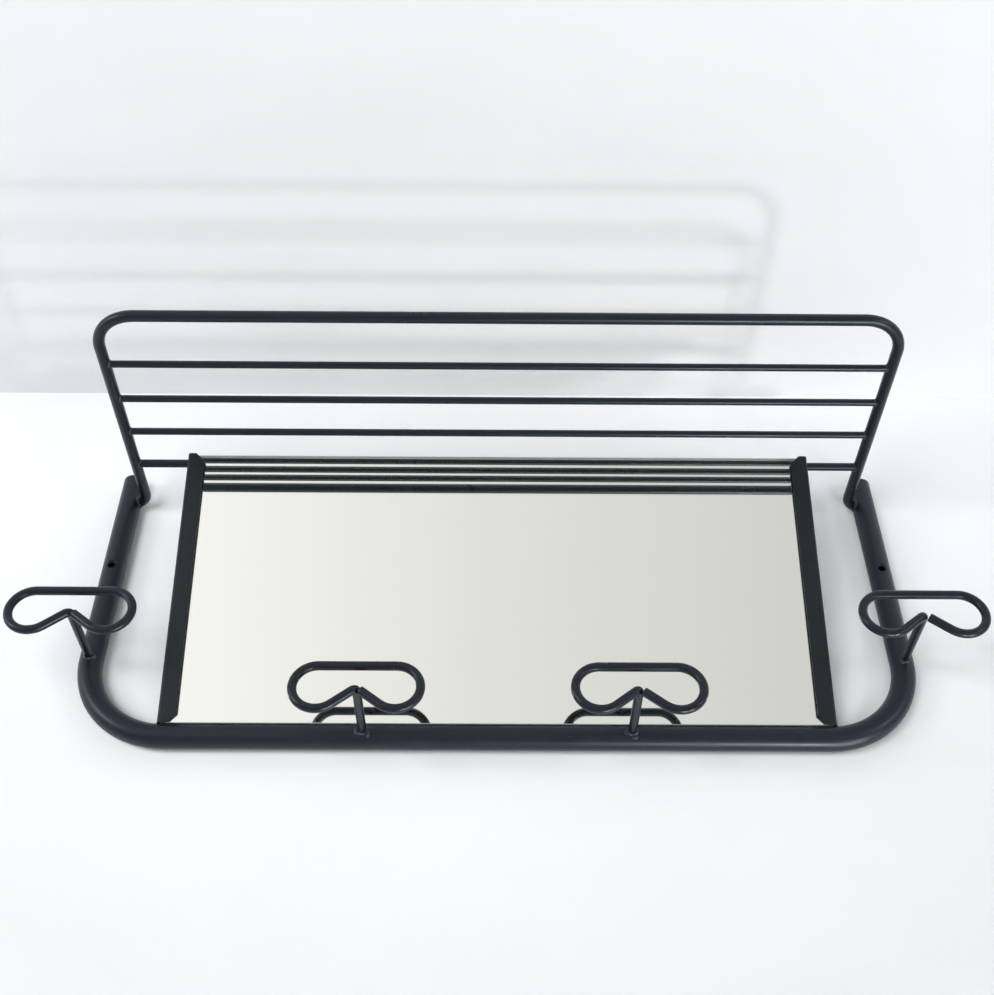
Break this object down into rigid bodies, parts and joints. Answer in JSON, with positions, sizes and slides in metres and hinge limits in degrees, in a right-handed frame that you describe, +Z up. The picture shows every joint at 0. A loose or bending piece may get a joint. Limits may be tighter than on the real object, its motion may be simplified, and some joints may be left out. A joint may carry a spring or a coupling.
{
  "type": "mirror with hooks",
  "caption": "Wall rack with a wide mirror tilted forward between two steel channels, a shelf of rods above it, and double wire hooks on a bent tube frame.",
  "frame": {"origin": "on the wall, midway between the two screw holes", "axes": "+X to the right along the rail, +Z up the wall, -Y out of the wall to the front"},
  "size_m": [0.7064, 0.2192, 0.2636],
  "materials": {
    "satin_black_paint": "satin",
    "cap_plastic": "satin",
    "mirror_glass": "polished",
    "backing_board": "matte",
    "cushion_foam": "matte"
  },
  "bodies": {
    "root": {"frame_tube": "satin_black_paint", "frame_end_cap_left": "cap_plastic", "frame_end_cap_right": "cap_plastic", "shelf_outer_rod": "satin_black_paint", "shelf_deck_rod_1": "satin_black_paint", "shelf_deck_rod_2": "satin_black_paint", "shelf_deck_rod_3": "satin_black_paint", "shelf_rear_rod": "satin_black_paint", "mirror_channel_left": "satin_black_paint", "mirror_channel_right": "satin_black_paint", "mirror_glass": "mirror_glass", "mirror_backing": "backing_board", "cushion_strip_left": "cushion_foam", "cushion_strip_right": "cushion_foam", "hook_1": "satin_black_paint", "hook_2": "satin_black_paint", "hook_3": "satin_black_paint", "hook_4": "satin_black_paint", "hook_weld_beads": "satin_black_paint", "deck_rod_weld_beads": "satin_black_paint", "rear_rod_weld_beads": "satin_black_paint", "shelf_foot_weld_beads": "satin_black_paint", "channel_foot_weld_beads": "satin_black_paint", "channel_top_weld_beads": "satin_black_paint"}
  },
  "joints": []
}
